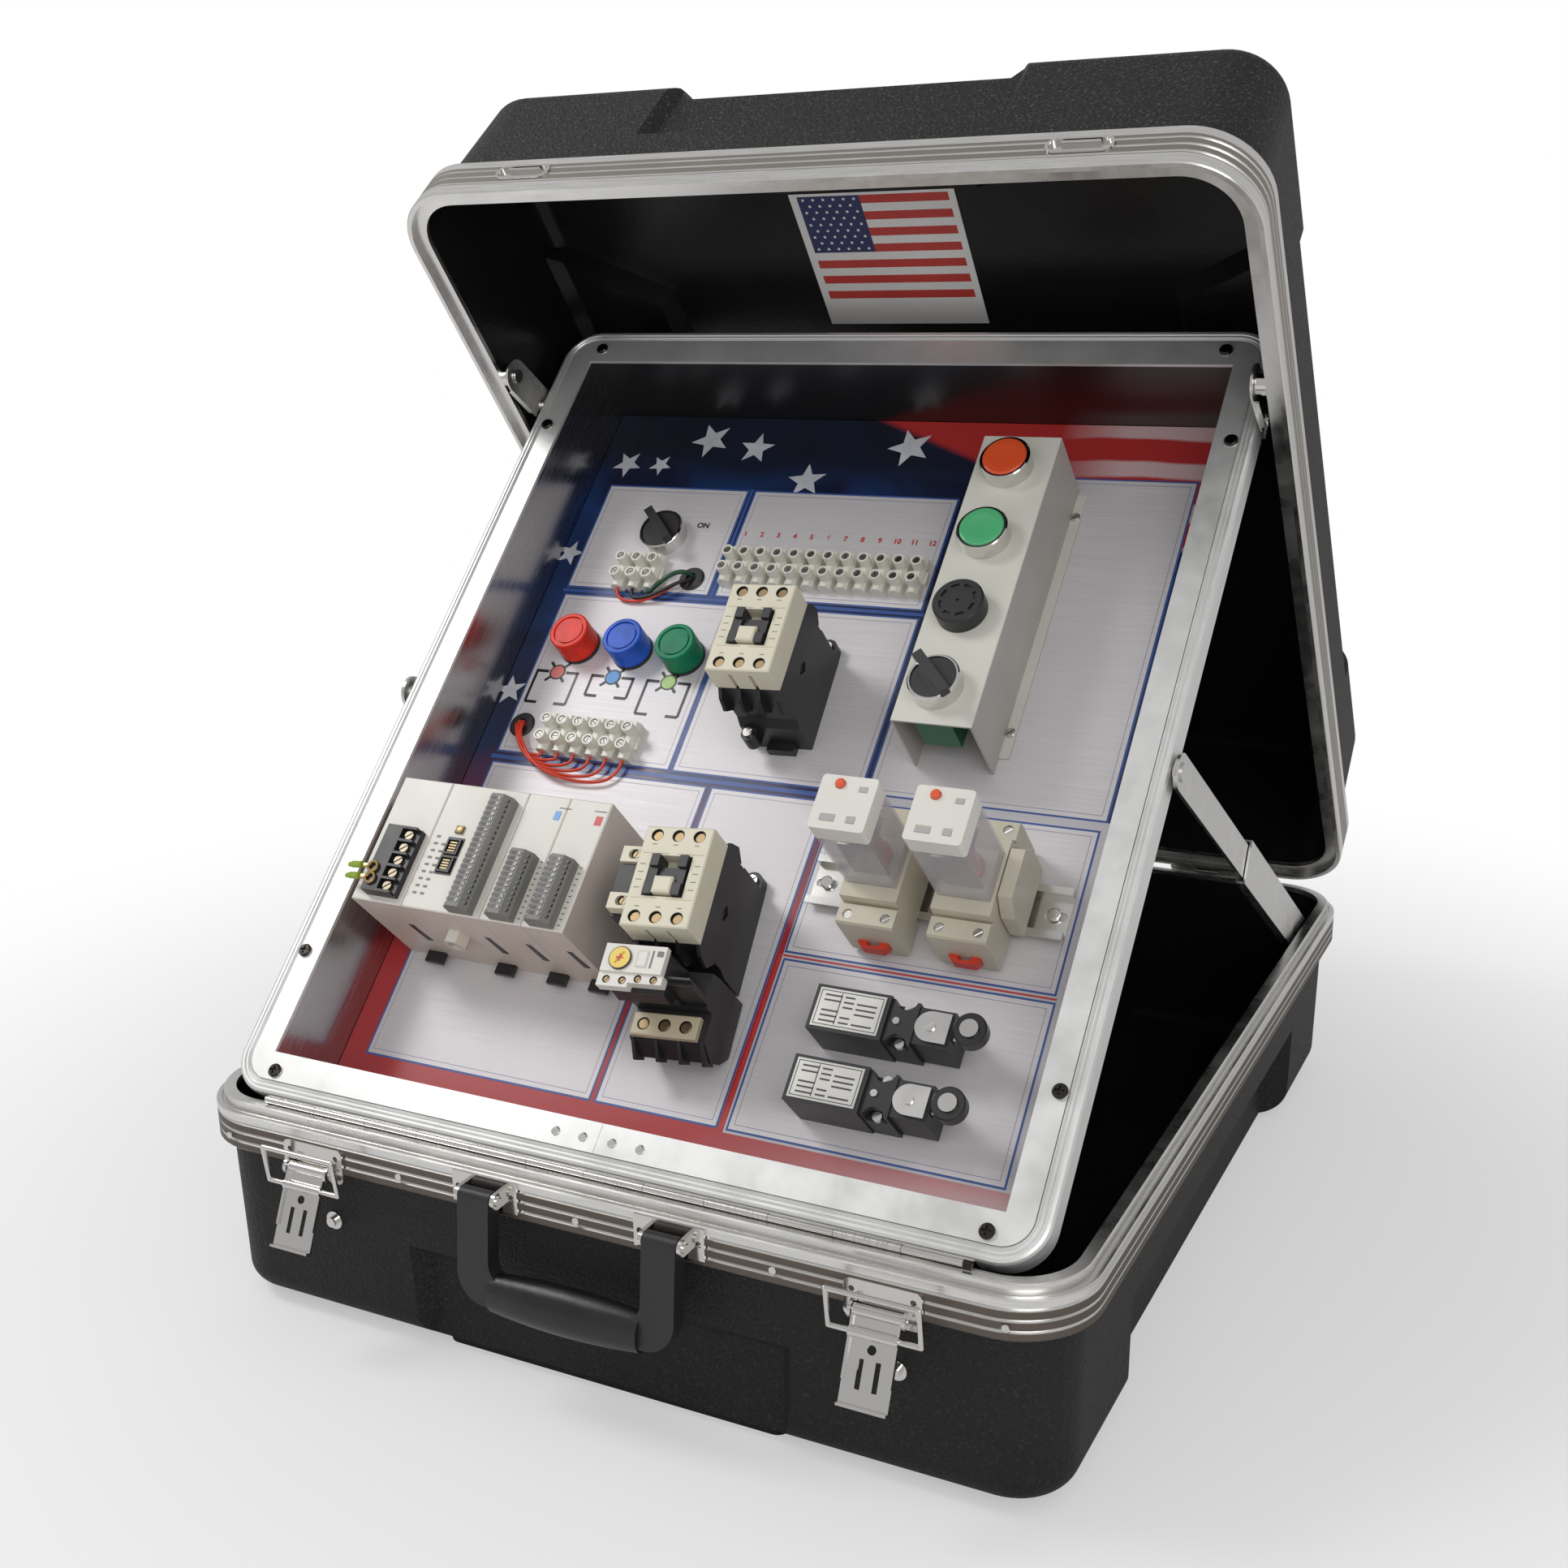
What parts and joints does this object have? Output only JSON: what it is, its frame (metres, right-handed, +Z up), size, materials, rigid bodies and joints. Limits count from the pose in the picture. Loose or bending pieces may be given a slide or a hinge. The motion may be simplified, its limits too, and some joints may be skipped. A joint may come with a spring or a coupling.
{
  "type": "programmable logic controller trainer",
  "caption": "Carrying case trainer for machine control: a ribbed case whose lid opens on a raised tray of switches, lamps, relays, contactors and a controller.",
  "frame": {"origin": "centre of the underside of the case's lower half, on the floor", "axes": "+X to the right seen from the front, +Y to the back where the lid is hinged, +Z up"},
  "size_m": [0.6, 0.827, 0.7721],
  "materials": {
    "case_black": "pebbled moulding",
    "rim_aluminium": "satin, ribbed",
    "bright_steel": "bright plated",
    "stay_steel": "zinc plated sheet",
    "tray_aluminium": "satin",
    "tub_grey": "satin grey",
    "panel_print": "brushed, with printed fields",
    "handle_black": "grained",
    "grip_black": "grained, padded",
    "box_ivory": "ivory on top, grey sides",
    "black_plastic": "satin",
    "red_plastic": "gloss",
    "green_plastic": "gloss",
    "lens_red": "translucent lens",
    "lens_blue": "translucent lens",
    "lens_green": "translucent lens",
    "nylon": "translucent nylon",
    "wire_red": "PVC sleeve",
    "cream_plastic": "satin",
    "white_plastic": "satin",
    "grey_plastic": "satin",
    "dial_yellow": "gloss",
    "beige_plastic": "satin",
    "clear_housing": "clear plastic over metal and copper parts",
    "roller_black": "satin"
  },
  "bodies": {
    "base": {"base_shell": "case_black", "base_valance": "rim_aluminium", "base_hinges": "bright_steel", "front_fittings": "bright_steel"},
    "tray": {"tray_frame": "tray_aluminium", "tray_tub": "tub_grey", "panel_plate": "panel_print", "tray_fittings": "bright_steel", "control_bezels": "bright_steel", "buzzer": "black_plastic", "control_box": "box_ivory", "contact_blocks": "green_plastic", "terminal_strips": "nylon", "panel_wires": "wire_red", "lamp_lens_red": "lens_red", "lamp_lens_blue": "lens_blue", "lamp_lens_green": "lens_green", "contactor_bodies": "black_plastic", "contactor_covers": "cream_plastic", "overload_faces": "white_plastic", "mounting_rails": "rim_aluminium", "plc_modules": "white_plastic", "plc_terminals": "grey_plastic", "panel_black_parts": "black_plastic", "relay_sockets": "beige_plastic", "relay_clips": "red_plastic", "relay_housings": "clear_housing", "relay_caps": "white_plastic", "limit_switch_bodies": "black_plastic", "bright_parts": "bright_steel"},
    "lid": {"lid_shell": "case_black", "lid_valance": "rim_aluminium", "lid_fittings": "bright_steel"},
    "stay_channel_right": {"stay_channel_right": "stay_steel"},
    "stay_channel_left": {"stay_channel_left": "stay_steel"},
    "stay_arm_right": {"stay_arm_right": "stay_steel"},
    "stay_arm_left": {"stay_arm_left": "stay_steel"},
    "lid_hook_right": {"lid_hook_right": "stay_steel"},
    "lid_hook_left": {"lid_hook_left": "stay_steel"},
    "latch_lever_left": {"latch_lever_left": "bright_steel"},
    "latch_lever_right": {"latch_lever_right": "bright_steel"},
    "latch_bail_left": {"latch_bail_left": "bright_steel"},
    "latch_bail_right": {"latch_bail_right": "bright_steel"},
    "handle": {"handle_frame": "handle_black", "handle_grip": "grip_black"},
    "power_selector": {"power_selector": "black_plastic"},
    "control_selector": {"control_selector": "black_plastic"},
    "red_button": {"red_button": "red_plastic"},
    "green_button": {"green_button": "green_plastic"},
    "contactor_slider": {"contactor_slider": "cream_plastic"},
    "starter_slider": {"starter_slider": "cream_plastic"},
    "overload_dial": {"overload_dial": "dial_yellow"},
    "relay_button_1": {"relay_button_1": "red_plastic"},
    "relay_button_2": {"relay_button_2": "red_plastic"},
    "limit_plunger_1": {"limit_plunger_1": "bright_steel"},
    "limit_plunger_2": {"limit_plunger_2": "bright_steel"},
    "limit_roller_1": {"limit_roller_1": "roller_black"},
    "limit_roller_2": {"limit_roller_2": "roller_black"}
  },
  "joints": [
    {"name": "lid_hinge", "type": "hinge", "parent": "base", "child": "lid", "pos_m": [0, 0.3575, 0.146], "axis": [-1, 0, 0], "range_deg": [0, 50]},
    {"name": "tray_tilt", "type": "hinge", "parent": "base", "child": "tray", "pos_m": [0, -0.34, 0.1484], "axis": [1, 0, 0], "range_deg": [-45.1, 0]},
    {"name": "stay_channel_left", "type": "hinge", "parent": "base", "child": "stay_channel_left", "pos_m": [-0.283, 0.29, 0.115], "axis": [1, 0, 0], "range_deg": [0, 27.3]},
    {"name": "stay_arm_left", "type": "slide", "parent": "stay_channel_left", "child": "stay_arm_left", "axis": [0, -0.8529, 0.5221], "range_m": [-0.16, 0]},
    {"name": "lid_hook_left", "type": "hinge", "parent": "lid", "child": "lid_hook_left", "pos_m": [-0.2788, 0.03544, 0.57578], "axis": [1, 0, 0], "range_deg": [0, 60]},
    {"name": "stay_channel_right", "type": "hinge", "parent": "base", "child": "stay_channel_right", "pos_m": [0.283, 0.29, 0.115], "axis": [1, 0, 0], "range_deg": [0, 27.3]},
    {"name": "stay_arm_right", "type": "slide", "parent": "stay_channel_right", "child": "stay_arm_right", "axis": [0, -0.8529, 0.5221], "range_m": [-0.16, 0]},
    {"name": "lid_hook_right", "type": "hinge", "parent": "lid", "child": "lid_hook_right", "pos_m": [0.2788, 0.03544, 0.57578], "axis": [1, 0, 0], "range_deg": [0, 60]},
    {"name": "handle", "type": "hinge", "parent": "base", "child": "handle", "pos_m": [0, -0.3595, 0.129], "axis": [-1, 0, 0], "range_deg": [0, 110]},
    {"name": "latch_lever_left", "type": "hinge", "parent": "base", "child": "latch_lever_left", "pos_m": [-0.194, -0.3575, 0.117], "axis": [-1, 0, 0], "range_deg": [-25, 120]},
    {"name": "latch_bail_left", "type": "hinge", "parent": "latch_lever_left", "child": "latch_bail_left", "pos_m": [-0.194, -0.3636, 0.10771], "axis": [-1, 0, 0], "range_deg": [-121, 26]},
    {"name": "latch_lever_right", "type": "hinge", "parent": "base", "child": "latch_lever_right", "pos_m": [0.194, -0.3575, 0.117], "axis": [-1, 0, 0], "range_deg": [-25, 120]},
    {"name": "latch_bail_right", "type": "hinge", "parent": "latch_lever_right", "child": "latch_bail_right", "pos_m": [0.194, -0.3636, 0.10771], "axis": [-1, 0, 0], "range_deg": [-121, 26]},
    {"name": "power_selector", "type": "hinge", "parent": "tray", "child": "power_selector", "pos_m": [-0.1645, 0.05615, 0.45598], "axis": [0, -0.7083, 0.7059], "range_deg": [-90, 0]},
    {"name": "control_selector", "type": "hinge", "parent": "tray", "child": "control_selector", "pos_m": [0.116, -0.08736, 0.39414], "axis": [0, -0.7083, 0.7059], "range_deg": [-90, 0]},
    {"name": "red_button", "type": "slide", "parent": "tray", "child": "red_button", "axis": [0, 0.7083, -0.7059], "range_m": [0, 0.004], "stiffness_N_per_m": 300, "springref_m": -0.002},
    {"name": "green_button", "type": "slide", "parent": "tray", "child": "green_button", "axis": [0, 0.7083, -0.7059], "range_m": [0, 0.004], "stiffness_N_per_m": 300, "springref_m": -0.002},
    {"name": "contactor_slider", "type": "slide", "parent": "tray", "child": "contactor_slider", "axis": [0, 0.7083, -0.7059], "range_m": [0, 0.003], "stiffness_N_per_m": 200, "springref_m": -0.002},
    {"name": "starter_slider", "type": "slide", "parent": "tray", "child": "starter_slider", "axis": [0, 0.7083, -0.7059], "range_m": [0, 0.003], "stiffness_N_per_m": 200, "springref_m": -0.002},
    {"name": "overload_dial", "type": "hinge", "parent": "tray", "child": "overload_dial", "pos_m": [-0.0167, -0.26498, 0.25273], "axis": [0, -0.7083, 0.7059], "range_deg": [-150, 150]},
    {"name": "relay_button_1", "type": "slide", "parent": "tray", "child": "relay_button_1", "axis": [0, 0.7083, -0.7059], "range_m": [0, 0.002], "stiffness_N_per_m": 100, "springref_m": -0.001},
    {"name": "relay_button_2", "type": "slide", "parent": "tray", "child": "relay_button_2", "axis": [0, 0.7083, -0.7059], "range_m": [0, 0.002], "stiffness_N_per_m": 100, "springref_m": -0.001},
    {"name": "limit_plunger_1", "type": "slide", "parent": "tray", "child": "limit_plunger_1", "axis": [-1, 0, 0], "range_m": [0, 0.004], "stiffness_N_per_m": 300, "springref_m": -0.003},
    {"name": "limit_roller_1", "type": "hinge", "parent": "limit_plunger_1", "child": "limit_roller_1", "pos_m": [0.1933, -0.21964, 0.22173], "axis": [0, -0.7083, 0.7059], "continuous": true},
    {"name": "limit_plunger_2", "type": "slide", "parent": "tray", "child": "limit_plunger_2", "axis": [-1, 0, 0], "range_m": [0, 0.004], "stiffness_N_per_m": 300, "springref_m": -0.003},
    {"name": "limit_roller_2", "type": "hinge", "parent": "limit_plunger_2", "child": "limit_roller_2", "pos_m": [0.1933, -0.25204, 0.18921], "axis": [0, -0.7083, 0.7059], "continuous": true}
  ],
  "couplings": [
    {"joint": "stay_channel_left", "follows": "tray_tilt", "ratio": -0.6008},
    {"joint": "stay_arm_left", "follows": "tray_tilt", "m_per_rad": 0.1955},
    {"joint": "latch_bail_left", "follows": "latch_lever_left", "ratio": -1},
    {"joint": "stay_channel_right", "follows": "tray_tilt", "ratio": -0.6008},
    {"joint": "stay_arm_right", "follows": "tray_tilt", "m_per_rad": 0.1955},
    {"joint": "latch_bail_right", "follows": "latch_lever_right", "ratio": -1}
  ]
}
